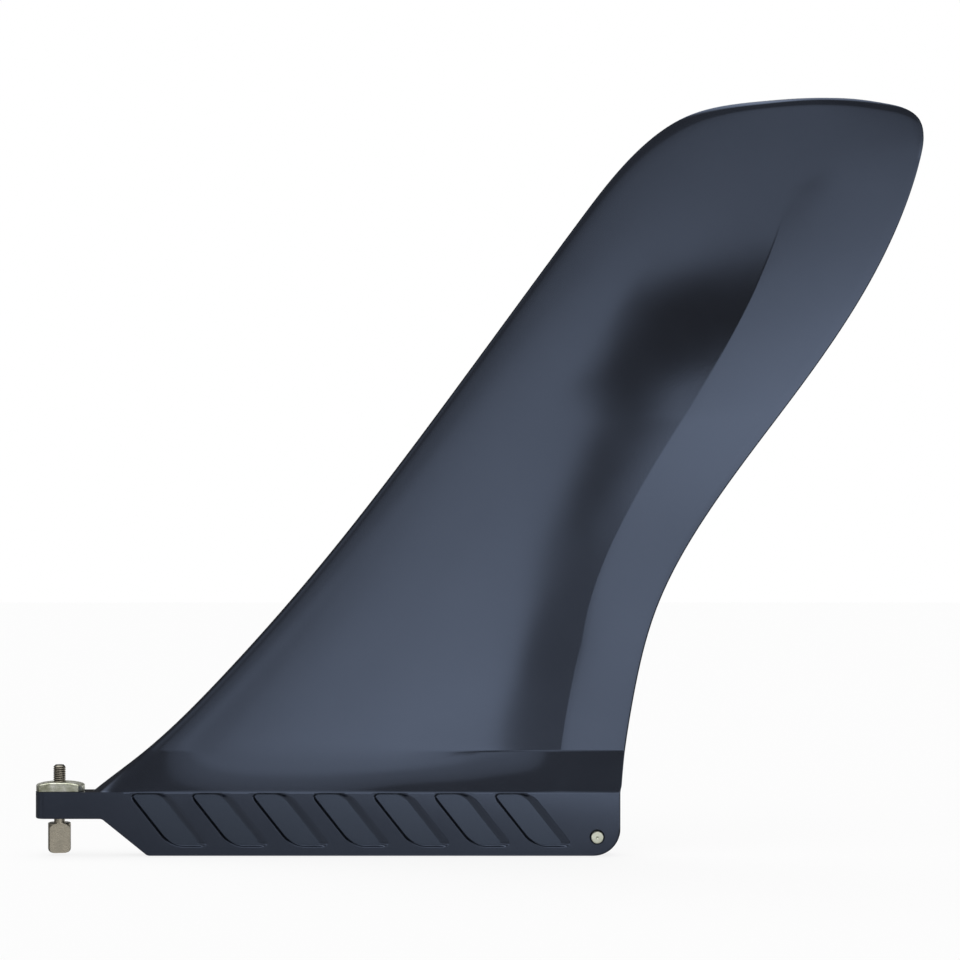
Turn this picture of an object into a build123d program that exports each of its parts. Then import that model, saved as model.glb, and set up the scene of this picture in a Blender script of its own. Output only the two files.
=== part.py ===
from build123d import *
import os
from math import radians, sqrt, tan

# A one-piece moulded paddleboard fin with its cross pin, thumb screw and plate nut, in millimetres.
# +Z runs from the foot of the tab to the tip, +X from the tongue to the trailing edge, and Y is
# the thickness. The origin is on the foot of the tab, in the middle plane, midway along the fin.

# Tab that slides into the fin box, with the tongue in front of it
tab_height = 20.8
tab_thickness = 9.3
tab_rear = 45.8
tab_corner_radius = 8.8
foot_front = -108.5
tongue_end = -145.2
tongue_underside = 12.0
tongue_neck = -123.4
tongue_nose_radius = 3.0
bend_radius = 2.0
small_edge = 0.6

# Blade
top_of_blade = 247.9
root_half_thickness = 3.45
tip_half_thickness = 1.15
root_flare = 0.75
root_flare_height = 17.0
trailing_half_thickness = 0.5
thickest_at = 0.36
crease_setback_at_root = 21.0
crease_setback_growth = 0.133
crease_straight_to = 70.0
crease_slope = 0.052
crease_slope_at_tip = 0.032
crease_fades_from = 198.0
crease_fades_over = 40.0

# Fairing that carries the tab's thickness into the blade
fairing_slope = 18.9
fairing_half_top = 0.33
fairing_nose = 9.0
fairing_nose_set = 1.0
fairing_rear_set = 0.4
fairing_rear_corner = 0.13

# Recesses along both sides of the tab
recess_count = 7
recess_pitch = 19.75
recess_first = -115.1
recess_bottom = 2.7
recess_top = 20.4
recess_width = 13.5
recess_lean = 14.2
recess_depth = 1.2
recess_draft = 16.0
recess_acute_radius = 1.4
recess_top_radius = 6.5
recess_bottom_radius = 9.0

# Steel cross pin, pressed through the rear of the tab
pin_x = 38.2
pin_z = 6.2
pin_radius = 2.0
pin_length = 12.2
pin_chamfer = 0.3
pin_mouth = 0.45
pin_dimple_radius = 0.45
pin_dimple_depth = 0.35

# Thumb screw, and the clearance hole for it in the tongue
screw_x = -137.7
screw_radius = 2.0
screw_tip = 29.4
screw_tip_chamfer = 0.5
neck_radius = 1.75
neck_top = 13.0
tongue_hole_radius = 2.3
head_radius = 3.7
head_top = 10.5
head_bottom = 0.6
head_corner = 1.5
head_rim = 0.3
grip_half_thickness = 1.7
grip_arc_radius = 4.0
grip_arc_centre = 6.6
grip_turn = 11.0

# Plate nut on the thread
plate_radius = 7.9
plate_width = 9.2
plate_thickness = 3.0
plate_gap = 0.05
plate_offset = 0.35
plate_hole_radius = 2.06
plate_soft_edge = 0.7
plate_sharp_edge = 0.2

# Side view of the blade from the root to its highest point, as (x, z)
leading_points = [
    (-129.0, 18.8),
    (-111.5, 32.5),
    (-85.0, 57.7),
    (-55.5, 90.9),
    (-11.3, 147.9),
    (32.9, 208.0),
    (52.6, 231.3),
    (67.3, 241.5),
    (91.9, 246.6),
    (111.5, top_of_blade),
]
trailing_points = [
    (46.0, 18.8),
    (50.1, 50.4),
    (57.6, 79.8),
    (73.1, 109.3),
    (101.7, 148.6),
    (128.0, 187.9),
    (141.2, 217.4),
    (145.3, 235.0),
    (136.1, 245.3),
    (111.5, top_of_blade),
]
lower_stations = [19, 25, 31, 38, 48, 62, 80, 100, 120, 140, 160, 180, 198, 212, 224]
tip_stations = [232, 238, 242, 244.6, 246.4, 247.4, 247.8]


def side_curve(points, start_direction):
    return Spline([(x, 0, z) for x, z in points], tangents=[start_direction, (1, 0, 0)])


leading_curve = side_curve(leading_points, (1, 0, 0.87))
trailing_curve = side_curve(trailing_points, (0.06, 0, 1))


# The curve climbs all the way, so halving finds the place where it passes a height
def x_at_height(curve, z):
    low, high = 0.0, 1.0
    for _ in range(40):
        middle = (low + high) / 2
        if (curve @ middle).Z < z:
            low = middle
        else:
            high = middle
    return (curve @ low).X


# Largest half thickness of the blade at a height: an even taper with a flare at the root
def half_thickness(z):
    climb = (z - tab_height) / (top_of_blade - tab_height)
    taper = root_half_thickness + (tip_half_thickness - root_half_thickness) * climb
    near_root = min(1.0, max(0.0, 1 - (z - tab_height) / root_flare_height))
    return taper + root_flare * near_root**2


# Distance of the crease ahead of the trailing edge, and the half thickness there
def crease_place(z, chord, half):
    setback = crease_setback_at_root + crease_setback_growth * max(0.0, z - crease_straight_to)
    setback = min(setback, 0.4 * chord)
    fade = min(1.0, max(0.0, (z - crease_fades_from) / crease_fades_over))
    slope = crease_slope + (crease_slope_at_tip - crease_slope) * fade
    return setback, min(trailing_half_thickness + slope * setback, 0.95 * half)


# A foil with a round nose, a gently curved middle and a flat facet behind the crease
def foil_section(z):
    lead = x_at_height(leading_curve, z)
    trail = x_at_height(trailing_curve, z)
    chord = trail - lead
    half = half_thickness(z)
    setback, crease_y = crease_place(z, chord, half)
    crease_x = trail - setback
    thick_x = lead + thickest_at * chord
    edge = trailing_half_thickness

    def surface(x):
        if x < thick_x:
            return half * sqrt(1 - (1 - (x - lead) / (thick_x - lead)) ** 3)
        return half - (half - crease_y) * ((x - thick_x) / (crease_x - thick_x)) ** 1.7

    middle = [thick_x + (crease_x - thick_x) * share for share in (1.0, 0.7, 0.35)]
    nose = [lead + (thick_x - lead) * share for share in (1.0, 0.65, 0.36, 0.16, 0.05, 0.01)]
    rise = 1.7 * (half - crease_y) / (crease_x - thick_x)
    upper = [(x, surface(x), z) for x in middle + nose] + [(lead, 0, z)]
    lower = [(x, -y, z) for x, y, z in upper]
    front = Spline(upper, tangents=[(-1, rise, 0), (0, -1, 0)])
    front_below = Spline(lower, tangents=[(-1, -rise, 0), (0, 1, 0)])
    facets = Polyline(
        (crease_x, crease_y, z),
        (trail, edge, z),
        (trail, -edge, z),
        (crease_x, -crease_y, z),
    )
    return Face(Wire([front, front_below] + facets.edges()))


def blade():
    return loft([foil_section(z) for z in lower_stations + tip_stations])


# A plan slice of the fairing: an elliptical nose, straight sides and a square rear
def fairing_section(z, half):
    nose = fairing_nose * half / (tab_thickness / 2)
    tip = x_at_height(leading_curve, z) + fairing_nose_set
    rear = x_at_height(trailing_curve, z) - fairing_rear_set
    plane = Plane((tip + nose, 0, z))
    round_nose = plane * EllipticalCenterArc((0, 0), nose, half, start_angle=90, arc_size=180)
    length = rear - tip - nose
    corner = fairing_rear_corner * half
    sides = plane * Polyline(
        (0, half),
        (length - corner, half),
        (length, half - corner),
        (length, corner - half),
        (length - corner, -half),
        (0, -half),
    )
    return Face(Wire(round_nose.edges() + sides.edges()))


def fairing():
    half_foot = tab_thickness / 2
    climb = (half_foot - fairing_half_top) / tan(radians(fairing_slope))
    foot = fairing_section(tab_height, half_foot)
    head = fairing_section(tab_height + climb, fairing_half_top)
    return loft([foot, head], ruled=True)


def rounded(face, corner, radius):
    nearest = face.vertices().sort_by_distance((*corner, 0))[0]
    return fillet(nearest, radius)


# The flat tab and its tongue: a side profile with rounded corners, carried across
def tab():
    half = tab_thickness / 2
    outline = [
        (tongue_end, tongue_underside),
        (tongue_neck, tongue_underside),
        (foot_front, 0),
        (tab_rear, 0),
        (tab_rear, tab_height),
        (tongue_end, tab_height),
    ]
    profile = make_face(Polyline(outline, close=True))
    profile = rounded(profile, (tab_rear, 0), tab_corner_radius)
    profile = rounded(profile, (tongue_neck, tongue_underside), bend_radius)
    profile = rounded(profile, (foot_front, 0), bend_radius)
    body = extrude(Plane.XZ * profile, amount=half, both=True)
    nose_edges = [e for e in body.edges().filter_by(Axis.Z) if e.center().X < tongue_end + 0.01]
    body = fillet(nose_edges, tongue_nose_radius)
    rims = []
    for edge in body.edges():
        place = edge.center()
        below_top = place.Z < tab_height - 0.01
        on_side = abs(abs(place.Y) - half) < 0.01 and place.X > tongue_end + tongue_nose_radius + 0.01
        under_nose = place.X < tongue_neck and place.Z < tongue_underside + 0.01
        if below_top and (on_side or under_nose):
            rims.append(edge)
    return fillet(rims, small_edge)


# A leaning parallelogram with two tight and two generous corners
def recess_outline(first_x):
    top_left = (first_x, recess_top)
    top_right = (first_x + recess_width, recess_top)
    bottom_right = (first_x + recess_width + recess_lean, recess_bottom)
    bottom_left = (first_x + recess_lean, recess_bottom)
    outline = make_face(Polyline(top_left, top_right, bottom_right, bottom_left, close=True))
    outline = rounded(outline, top_left, recess_acute_radius)
    outline = rounded(outline, bottom_right, recess_acute_radius)
    outline = rounded(outline, top_right, recess_top_radius)
    return rounded(outline, bottom_left, recess_bottom_radius)


# The seven recesses on one side, narrowing towards their floors
def recess_cutters(side):
    face_plane = Plane((0, side * tab_thickness / 2, 0), x_dir=(1, 0, 0), z_dir=(0, -1, 0))
    cutters = []
    for number in range(recess_count):
        outline = face_plane * recess_outline(recess_first + number * recess_pitch)
        cutters.append(extrude(outline, amount=side * recess_depth, taper=recess_draft))
    return cutters


# A straight hole for the pin, with a short chamfer at each mouth
def pin_hole():
    hole = Pos(pin_x, 0, pin_z) * Rot(90, 0, 0) * Cylinder(pin_radius, tab_thickness + 1)
    mouth = Cone(pin_radius, pin_radius + pin_mouth, pin_mouth)
    for side in (1, -1):
        tilt = -90 * side
        place = Pos(pin_x, side * (tab_thickness - pin_mouth) / 2, pin_z) * Rot(tilt, 0, 0)
        hole += place * mouth
    return hole


def tongue_hole():
    height = tab_height - tongue_underside
    return Pos(screw_x, 0, tongue_underside + height / 2) * Cylinder(tongue_hole_radius, height + 1)


def fin_body():
    body = tab() + fairing() + blade()
    for side in (1, -1):
        for cutter in recess_cutters(side):
            body -= cutter
    return body - pin_hole() - tongue_hole()


def rear_cross_pin():
    pin = chamfer(Cylinder(pin_radius, pin_length).edges().filter_by(GeomType.CIRCLE), pin_chamfer)
    dimple = Cone(0.01, pin_dimple_radius, pin_dimple_depth)
    for side in (1, -1):
        turn = 0 if side > 0 else 180
        pin -= Rot(turn, 0, 0) * Pos(0, 0, (pin_length - pin_dimple_depth) / 2) * dimple
    return Pos(pin_x, 0, pin_z) * Rot(90, 0, 0) * pin


# A turned screw whose head has two flats, each ending in an arc below the shoulder
def thumb_screw():
    shank = Pos(0, 0, (neck_top + screw_tip) / 2) * Cylinder(screw_radius, screw_tip - neck_top)
    shank = chamfer(shank.edges().filter_by(GeomType.CIRCLE), screw_tip_chamfer / 2)
    neck = Pos(0, 0, (head_top + neck_top) / 2) * Cylinder(neck_radius, neck_top - head_top)
    head_height = head_top - head_bottom
    head = Pos(0, 0, (head_top + head_bottom) / 2) * Cylinder(head_radius, head_height)
    rims = head.edges().filter_by(GeomType.CIRCLE).sort_by(Axis.Z)
    head = fillet(rims[0], head_corner)
    rims = head.edges().filter_by(GeomType.CIRCLE).sort_by(Axis.Z)
    head = chamfer(rims[-1], head_rim)
    flat = Pos(0, 0, grip_arc_centre) * Rot(90, 0, 0) * Cylinder(grip_arc_radius, 2 * head_radius)
    below = grip_arc_centre - head_bottom + 1
    flat += Pos(0, 0, grip_arc_centre - below / 2) * Box(2 * grip_arc_radius, 2 * head_radius, below)
    flat -= Box(4 * head_radius, 2 * grip_half_thickness, 4 * head_top)
    return Pos(screw_x, 0, 0) * Rot(0, 0, grip_turn) * (head - flat + neck + shank)


# A cast disc cut to two straight sides, soft on top, with a clearance bore for the thread
def plate_nut():
    plate = Cylinder(plate_radius, plate_thickness)
    plate &= Box(3 * plate_radius, plate_width, plate_thickness)
    plate = fillet(plate.edges().group_by(Axis.Z)[-1], plate_soft_edge)
    plate = chamfer(plate.edges().group_by(Axis.Z)[0], plate_sharp_edge)
    plate = Pos(plate_offset, 0, 0) * plate - Cylinder(plate_hole_radius, 2 * plate_thickness)
    return Pos(screw_x, 0, tab_height + plate_gap + plate_thickness / 2) * plate


os.makedirs("parts", exist_ok=True)
for make_piece in (fin_body, rear_cross_pin, thumb_screw, plate_nut):
    piece = make_piece()
    export_step(piece, f"parts/{make_piece.__name__}.step")
    print(make_piece.__name__, "volume", round(piece.volume, 1), "valid", piece.is_valid)
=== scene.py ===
import math

import bmesh
import bpy
import numpy as np
from mathutils import Matrix


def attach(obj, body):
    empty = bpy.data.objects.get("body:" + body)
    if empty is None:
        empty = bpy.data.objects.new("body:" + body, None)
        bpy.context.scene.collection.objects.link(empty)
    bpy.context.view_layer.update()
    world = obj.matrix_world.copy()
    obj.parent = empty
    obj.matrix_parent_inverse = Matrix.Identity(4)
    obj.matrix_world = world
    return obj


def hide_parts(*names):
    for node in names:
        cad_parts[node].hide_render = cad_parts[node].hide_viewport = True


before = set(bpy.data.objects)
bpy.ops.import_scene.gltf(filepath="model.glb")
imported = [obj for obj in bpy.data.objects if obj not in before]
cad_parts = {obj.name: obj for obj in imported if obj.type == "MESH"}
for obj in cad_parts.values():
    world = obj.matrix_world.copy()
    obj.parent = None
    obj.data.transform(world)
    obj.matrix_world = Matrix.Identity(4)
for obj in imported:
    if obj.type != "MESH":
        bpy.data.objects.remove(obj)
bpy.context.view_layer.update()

# Pieces are modelled in millimetres in the CAD's own frame and scaled to metres when done.
# +Z runs from the foot of the tab to the tip, +X to the trailing edge, and the camera looks
# along +Y.
mm = 0.001


# Helpers for every piece

def smoothStep(value, low, high):
    share = min(1.0, max(0.0, (value - low) / (high - low)))
    return share * share * (3 - 2 * share)


def smoothMin(a, b, blend):
    overlap = max(blend - abs(a - b), 0.0) / blend
    return min(a, b) - overlap * overlap * blend / 4


def roundCorner(bm, x, z, radius, segments=6):
    # Rounds the corner of a flat outline that lies nearest to (x, z)
    corner = min(bm.verts, key=lambda v: (v.co.x - x) ** 2 + (v.co.z - z) ** 2)
    ways = [(edge.other_vert(corner).co - corner.co).normalized() for edge in corner.link_edges]
    setBack = radius / math.tan(ways[0].angle(ways[1]) / 2)
    bmesh.ops.bevel(
        bm, geom=[corner], offset=setBack, offset_type="OFFSET", segments=segments,
        profile=0.5, affect="VERTICES", material=-1,
    )


def bevelEdges(bm, edges, width, segments):
    bmesh.ops.bevel(
        bm, geom=edges, offset=width, offset_type="OFFSET", segments=segments,
        profile=0.5, affect="EDGES", material=-1,
    )


def sharpEdges(bm):
    return [edge for edge in bm.edges if edge.calc_face_angle(0) > math.radians(60)]


def wholeOf(bm):
    return bm.faces[:] + bm.edges[:] + bm.verts[:]


def extrudeAcross(bm, distance):
    # Gives a flat outline its thickness across the fin
    pushed = bmesh.ops.extrude_face_region(bm, geom=bm.faces[:], use_keep_orig=True)
    across = [item for item in pushed["geom"] if isinstance(item, bmesh.types.BMVert)]
    bmesh.ops.translate(bm, vec=(0, distance, 0), verts=across)
    bmesh.ops.recalc_face_normals(bm, faces=bm.faces)


def addCylinder(bm, centre, radius, length, axis="Z", segments=64):
    made = bmesh.ops.create_cone(
        bm, cap_ends=True, segments=segments, radius1=radius, radius2=radius, depth=length,
    )
    if axis == "Y":
        turn = Matrix.Rotation(math.radians(-90), 3, "X")
        bmesh.ops.rotate(bm, cent=(0, 0, 0), matrix=turn, verts=made["verts"])
    bmesh.ops.translate(bm, vec=centre, verts=made["verts"])


def makeObject(name, bm):
    mesh = bpy.data.meshes.new(name)
    bm.to_mesh(mesh)
    bm.free()
    made = bpy.data.objects.new(name, mesh)
    bpy.context.scene.collection.objects.link(made)
    return made


def applyModifiers(piece):
    # Replaces the piece's mesh by what its modifiers make of it
    depsgraph = bpy.context.evaluated_depsgraph_get()
    made = bpy.data.meshes.new_from_object(piece.evaluated_get(depsgraph))
    piece.modifiers.clear()
    piece.data = made


def addBoolean(piece, tool, operation):
    modifier = piece.modifiers.new(operation.lower(), "BOOLEAN")
    modifier.operation = operation
    modifier.solver = "EXACT"
    modifier.object = tool
    applyModifiers(piece)
    bpy.data.objects.remove(tool)


def scaleToMetres(piece):
    bm = bmesh.new()
    bm.from_mesh(piece.data)
    bmesh.ops.remove_doubles(bm, verts=bm.verts, dist=0.001)
    bmesh.ops.scale(bm, vec=(mm, mm, mm), verts=bm.verts)
    bm.to_mesh(piece.data)
    bm.free()


def shadeByAngle(piece, angle):
    piece.data.shade_smooth()
    piece.data.set_sharp_from_angle(angle=math.radians(angle))


def weightNormals(piece):
    weighted = piece.modifiers.new("weighted", "WEIGHTED_NORMAL")
    weighted.keep_sharp = True
    applyModifiers(piece)


def placePiece(piece, body, material, node):
    piece.data.materials.clear()
    piece.data.materials.append(material)
    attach(piece, body)
    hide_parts(node)
    print(piece.name, "has", len(piece.data.polygons), "faces")


def finishMetal(piece, angle, body, material, node):
    scaleToMetres(piece)
    shadeByAngle(piece, angle)
    weightNormals(piece)
    placePiece(piece, body, material, node)


def newMaterial(name):
    material = bpy.data.materials.new(name)
    material.use_nodes = True
    tree = material.node_tree
    return material, tree, tree.nodes["Principled BSDF"]


def addNoise(tree, coordinates, scale, detail, stretch=None):
    noise = tree.nodes.new("ShaderNodeTexNoise")
    noise.inputs["Scale"].default_value = scale
    noise.inputs["Detail"].default_value = detail
    source = coordinates
    if stretch:
        mapping = tree.nodes.new("ShaderNodeMapping")
        mapping.inputs["Scale"].default_value = stretch
        tree.links.new(source, mapping.inputs["Vector"])
        source = mapping.outputs["Vector"]
    tree.links.new(source, noise.inputs["Vector"])
    return noise.outputs["Fac"]


def addMath(tree, operation, first, second=None):
    node = tree.nodes.new("ShaderNodeMath")
    node.operation = operation
    for socket, value in zip(node.inputs, (first, second)):
        if value is None:
            continue
        if isinstance(value, (int, float)):
            socket.default_value = value
        else:
            tree.links.new(value, socket)
    return node.outputs["Value"]


def addRange(tree, source, low, high, fromLow=0.3, fromHigh=0.7):
    mapped = tree.nodes.new("ShaderNodeMapRange")
    mapped.inputs["From Min"].default_value = fromLow
    mapped.inputs["From Max"].default_value = fromHigh
    mapped.inputs["To Min"].default_value = low
    mapped.inputs["To Max"].default_value = high
    tree.links.new(source, mapped.inputs["Value"])
    return mapped.outputs["Result"]


def addRamp(tree, source, stops):
    ramp = tree.nodes.new("ShaderNodeValToRGB")
    while len(ramp.color_ramp.elements) < len(stops):
        ramp.color_ramp.elements.new(0.5)
    for element, (place, colour) in zip(ramp.color_ramp.elements, stops):
        element.position = place
        element.color = (*colour, 1)
    tree.links.new(source, ramp.inputs["Fac"])
    return ramp.outputs["Color"]


def addTint(tree, share, source, colour):
    # The source, changed to another colour by a share from 0 to 1
    tint = tree.nodes.new("ShaderNodeMix")
    tint.data_type = "RGBA"
    plain, other = [socket for socket in tint.inputs if socket.type == "RGBA"]
    tree.links.new(share, tint.inputs["Factor"])
    tree.links.new(source, plain)
    other.default_value = (*colour, 1)
    return next(socket for socket in tint.outputs if socket.type == "RGBA")


def addBump(tree, height, strength, distance, below=None):
    bump = tree.nodes.new("ShaderNodeBump")
    bump.inputs["Strength"].default_value = strength
    bump.inputs["Distance"].default_value = distance
    tree.links.new(height, bump.inputs["Height"])
    if below:
        tree.links.new(below, bump.inputs["Normal"])
    return bump.outputs["Normal"]


# Camera, at the photograph's level view of the fin's flat side

view = {"distance": 0.970, "height": 0.12257, "width": 0.3144}


def addCamera():
    data = bpy.data.cameras.new("camera")
    data.sensor_width = 36
    data.lens = 36 * view["distance"] / view["width"]
    data.clip_start = 0.01
    camera = bpy.data.objects.new("camera", data)
    camera.location = (0, -view["distance"], view["height"])
    camera.rotation_euler = (math.radians(90), 0, 0)
    bpy.context.scene.collection.objects.link(camera)
    bpy.context.scene.camera = camera


addCamera()
bpy.context.scene.view_settings.view_transform = "Standard"
print("camera placed")


# Fin moulding: blade, fairing, tab and tongue as one skin

blade = {
    "leadingPoints": [
        (-129.0, 18.8), (-111.5, 32.5), (-85.0, 57.7), (-55.5, 90.9), (-11.3, 147.9),
        (32.9, 208.0), (52.6, 231.3), (67.3, 241.5), (91.9, 246.6), (111.5, 247.75),
    ],
    "trailingPoints": [
        (46.0, 18.8), (50.1, 50.4), (57.6, 79.8), (73.1, 109.3), (101.7, 148.6),
        (128.0, 187.9), (141.2, 217.4), (144.4, 228.5), (145.3, 234.6), (143.7, 241.0),
        (139.3, 244.25), (132.5, 246.0), (122.0, 247.45), (111.5, 247.75),
    ],
    "leadingWay": (1, 0.87),
    "trailingWay": (0.06, 1),
    "top": 247.75,
    "topGap": 1.75,
    "rootHalf": 3.45,
    "tipHalf": 1.15,
    "flare": 0.75,
    "flareHeight": 17.0,
    "edgeHalf": 0.5,
    "thickestAt": 0.36,
    "creasedPower": 1.7,
    "plainPower": 2.2,
    "creaseSetBack": 21.0,
    "creaseGrowth": 0.133,
    "creaseGrowsFrom": 70.0,
    "creaseSlope": 0.052,
    "creaseHalfMost": 0.95,
    "creaseSetBackMost": 0.4,
    "creaseFade": (200.0, 232.0),
    "tipEdgeWidth": 3.0,
    "tipEdgeFade": (222.0, 238.0),
    "tipFrom": 215.0,
    # heights of the level rows of the skin, from, to and step, and the fan of rows above them
    "levelSpans": [(20.3, 21.4, 0.18), (21.6, 36, 0.4), (36.5, 190.0, 2.1)],
    "fanRows": 60,
    "turnWeight": 20.0,
    "noseColumns": 26,
    "middleColumns": 26,
    "facetColumns": 10,
    "roundColumns": 5,
    "wallColumns": 3,
    "edgeRadius": 0.6,
    "nosePower": 1.7,
    "creaseGap": 0.4,
    "creaseLeast": 0.15,
    # how far the foot of the skin is sunk into the tab, and its share of the thickness there
    "sunkBy": 0.5,
    "sunkShare": 0.9,
}
fairing = {
    "foot": 20.8,
    "half": 4.65,
    "top": 34.0,
    "nose": 9.0,
    "noseSet": 1.0,
    "noseLeast": 0.02,
    "edgeBlend": 0.12,
    "hollowPower": 2.5,
    "hollowShares": [(-110, 0), (-84, 0.9), (-28, 0.9), (-2, 0.42), (14, 0.42), (25, 0)],
}


def clampedSpline(points, startWay, endWay, perSpan=40):
    # A smooth curve through the points, with a set direction at each end
    knots = np.array(points, float)
    spans = np.linalg.norm(np.diff(knots, axis=0), axis=1)
    system = np.eye(len(knots))
    goal = np.zeros((len(knots), 2))
    goal[0] = np.array(startWay) / np.linalg.norm(startWay)
    goal[-1] = np.array(endWay) / np.linalg.norm(endWay)
    for i in range(1, len(knots) - 1):
        before, after = spans[i - 1], spans[i]
        system[i, i - 1:i + 2] = after, 2 * (before + after), before
        rise = after * (knots[i] - knots[i - 1]) / before
        goal[i] = 3 * (rise + before * (knots[i + 1] - knots[i]) / after)
    slopes = np.linalg.solve(system, goal)
    path = []
    for i, span in enumerate(spans):
        for t in np.arange(perSpan) / perSpan:
            start = (1 + 2 * t) * (1 - t) ** 2 * knots[i] + t * (1 - t) ** 2 * span * slopes[i]
            end = t * t * (3 - 2 * t) * knots[i + 1] + t * t * (t - 1) * span * slopes[i + 1]
            path.append(start + end)
    path.append(knots[-1])
    return np.array(path)


leadingPath = clampedSpline(blade["leadingPoints"], blade["leadingWay"], (1, 0))
trailingPath = clampedSpline(blade["trailingPoints"], blade["trailingWay"], (-1, 0))


def leadAt(z):
    return float(np.interp(z, leadingPath[:, 1], leadingPath[:, 0]))


def trailAt(z):
    x = float(np.interp(z, trailingPath[:, 1], trailingPath[:, 0]))
    atBlade = smoothStep(z, tab["seam"], tab["seam"] + tab["rearBlend"])
    return x + (tab["rear"] - x) * (1 - atBlade)


def foilHalf(x, z):
    # Half thickness of the blade alone at a place on its side view
    lead, trail = leadAt(z), trailAt(z)
    chord = max(trail - lead, 1e-3)
    climb = (z - fairing["foot"]) / (blade["top"] - fairing["foot"])
    near = min(1.0, max(0.0, 1 - (z - fairing["foot"]) / blade["flareHeight"]))
    half = blade["rootHalf"] + (blade["tipHalf"] - blade["rootHalf"]) * climb
    half += blade["flare"] * near ** 2
    thickX = lead + blade["thickestAt"] * chord
    if x < thickX:
        return half * math.sqrt(max(0.0, 1 - (1 - max(0.0, x - lead) / (thickX - lead)) ** 3))
    edge = blade["edgeHalf"]
    setBack = creaseSetBack(z, chord)
    creaseHalf = min(edge + blade["creaseSlope"] * setBack, blade["creaseHalfMost"] * half)
    creaseX = trail - setBack
    if x < creaseX:
        back = (x - thickX) / (creaseX - thickX)
        creased = half - (half - creaseHalf) * back ** blade["creasedPower"]
    else:
        creased = edge + (creaseHalf - edge) * max(0.0, trail - x) / setBack
    back = min(1.0, max(0.0, (x - thickX) / (trail - thickX)))
    plain = half - (half - edge) * back ** blade["plainPower"]
    return creased + (plain - creased) * smoothStep(z, *blade["creaseFade"])


def creaseSetBack(z, chord):
    # Distance of the crease ahead of the trailing edge
    growth = blade["creaseGrowth"] * max(0.0, z - blade["creaseGrowsFrom"])
    return min(blade["creaseSetBack"] + growth, blade["creaseSetBackMost"] * chord)


def fairingHalf(x, z):
    # How far the leaning sides between the tab and a level line on the blade stand out from the
    # blade: straight at the rear, hollow further forward, and rounded to a nose at the front
    below = (fairing["top"] - z) / (fairing["top"] - fairing["foot"])
    behindTip = x - leadAt(z) - fairing["noseSet"]
    if below <= 0 or behindTip <= 0:
        return 0.0
    places, shares = zip(*fairing["hollowShares"])
    hollow = float(np.interp(x, places, shares))
    climb = (1 - hollow) * below + hollow * below ** fairing["hollowPower"]
    reach = (fairing["half"] - foilHalf(x, fairing["foot"])) * climb
    nose = fairing["nose"] * min(1.0, below + fairing["noseLeast"])
    return reach * math.sqrt(1 - (1 - min(1.0, behindTip / nose)) ** 2)


def tipEdge(x, z):
    # Rounds the skin off towards the outline along the top of the blade
    width = blade["tipEdgeWidth"] * smoothStep(z, *blade["tipEdgeFade"])
    if width <= 0:
        return 1.0
    gap = float(np.min(np.hypot(tipOutline[:, 0] - x, tipOutline[:, 1] - z)))
    return math.sqrt(1 - (1 - min(1.0, gap / width)) ** 2)


def skinHalf(x, z):
    # Blade and fairing together
    half = foilHalf(x, z) + fairingHalf(x, z)
    return smoothMin(fairing["half"], half, fairing["edgeBlend"]) * tipEdge(x, z)


def evenPoints(path, count):
    # Points along the path, evenly spaced but closer together where it turns
    ways = np.diff(path, axis=0)
    headings = np.unwrap(np.arctan2(ways[:, 1], ways[:, 0]))
    turns = np.abs(np.diff(headings, prepend=headings[0]))
    steps = np.linalg.norm(ways, axis=1) + blade["turnWeight"] * turns
    along = np.concatenate([[0], np.cumsum(steps)])
    wanted = np.linspace(0, along[-1], count)
    return np.stack([np.interp(wanted, along, path[:, axis]) for axis in (0, 1)], axis=1)


def rowEnds():
    # Where each row of the skin starts and ends: level rows first, then a fan towards the tip
    levels = [z for span in blade["levelSpans"] for z in np.arange(*span)]
    ends = [((leadAt(z), z), (trailAt(z), z)) for z in levels]
    start = blade["levelSpans"][-1][1]
    corner = int(np.argmax(trailingPath[:, 0]))
    upLeading = leadingPath[leadingPath[:, 1] > start]
    overTop = trailingPath[corner:][::-1]
    starts = evenPoints(np.concatenate([upLeading, overTop[1:]]), blade["fanRows"])
    upTrailing = trailingPath[:corner + 1]
    stops = evenPoints(upTrailing[upTrailing[:, 1] > start], blade["fanRows"])
    return ends + list(zip(starts, stops))


def rowShares(length, chord, z):
    # Places along a row, close together at the nose and on both sides of the crease
    thick = blade["thickestAt"]
    crease = 1 - creaseSetBack(z, chord) / chord
    crease = max(crease, thick + blade["creaseLeast"])
    gap = blade["creaseGap"] / max(length, 1.0)
    steps = [i / blade["noseColumns"] for i in range(blade["noseColumns"])]
    nose = [thick * step ** blade["nosePower"] for step in steps]
    middle = list(np.linspace(thick, crease - gap, blade["middleColumns"]))
    facet = list(np.linspace(crease + gap, 1.0, blade["facetColumns"]))
    return nose + middle + [crease] + facet


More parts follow.
